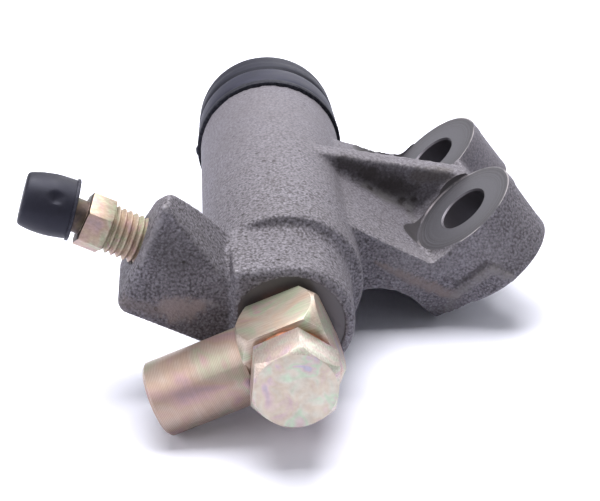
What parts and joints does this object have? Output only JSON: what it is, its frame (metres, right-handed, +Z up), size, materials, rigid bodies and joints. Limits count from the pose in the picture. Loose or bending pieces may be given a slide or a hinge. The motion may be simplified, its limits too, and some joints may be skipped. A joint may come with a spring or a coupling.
{
  "type": "clutch slave cylinder",
  "caption": "Cast iron hydraulic slave cylinder with bored barrel, side ears, bleed screw under a rubber cap, banjo union and a boot over its pushrod.",
  "frame": {"origin": "midway between the axes of the two mounting holes, on the mounting face", "axes": "+Y along the bore towards the pushrod end, +Z up as the part lies on a bench on its union stub, flange foot and boot lip, +X towards the mounting ears"},
  "size_m": [0.1097, 0.1426, 0.0468],
  "materials": {
    "cast_iron": "sand-cast skin with machined faces",
    "piston_alloy": "turned",
    "seal_rubber": "smooth",
    "plain_steel": "plain",
    "spring_steel": "black oiled",
    "zinc_fastener": "yellow zinc plate",
    "zinc_bolt": "yellow zinc plate",
    "zinc_union": "yellow zinc plate over a drawn bar",
    "zinc_bleeder": "yellow zinc plate",
    "copper": "annealed copper",
    "boot_rubber": "matte",
    "cap_rubber": "matte"
  },
  "bodies": {
    "cylinder": {"cylinder_body": "cast_iron", "union_bolt": "zinc_bolt", "pipe_union": "zinc_union", "head_gasket": "copper", "body_gasket": "copper", "retaining_ring": "spring_steel", "dust_boot": "boot_rubber", "return_spring": "plain_steel"},
    "piston": {"piston": "piston_alloy", "primary_cup": "seal_rubber", "secondary_cup": "seal_rubber", "spring_seat": "plain_steel", "pushrod": "plain_steel", "lock_nut": "zinc_fastener", "rod_end": "plain_steel"},
    "bleed_screw": {"bleed_screw": "zinc_bleeder"},
    "bleed_cap": {"bleed_cap": "cap_rubber"}
  },
  "joints": [
    {"name": "piston_slide", "type": "slide", "parent": "cylinder", "child": "piston", "axis": [0, 1, 0], "range_m": [-0.014, 0], "stiffness_N_per_m": 600, "springref_m": 0.014, "deforming": ["return_spring", "dust_boot"]},
    {"name": "bleed_turn", "type": "hinge", "parent": "cylinder", "child": "bleed_screw", "pos_m": [-0.04746, -0.04335, 0.00627], "axis": [-0.8949, 0, 0.4462], "range_deg": [0, 180]},
    {"name": "cap_pull", "type": "slide", "parent": "bleed_screw", "child": "bleed_cap", "axis": [-0.8949, 0, 0.4462], "range_m": [0, 0.015]}
  ]
}
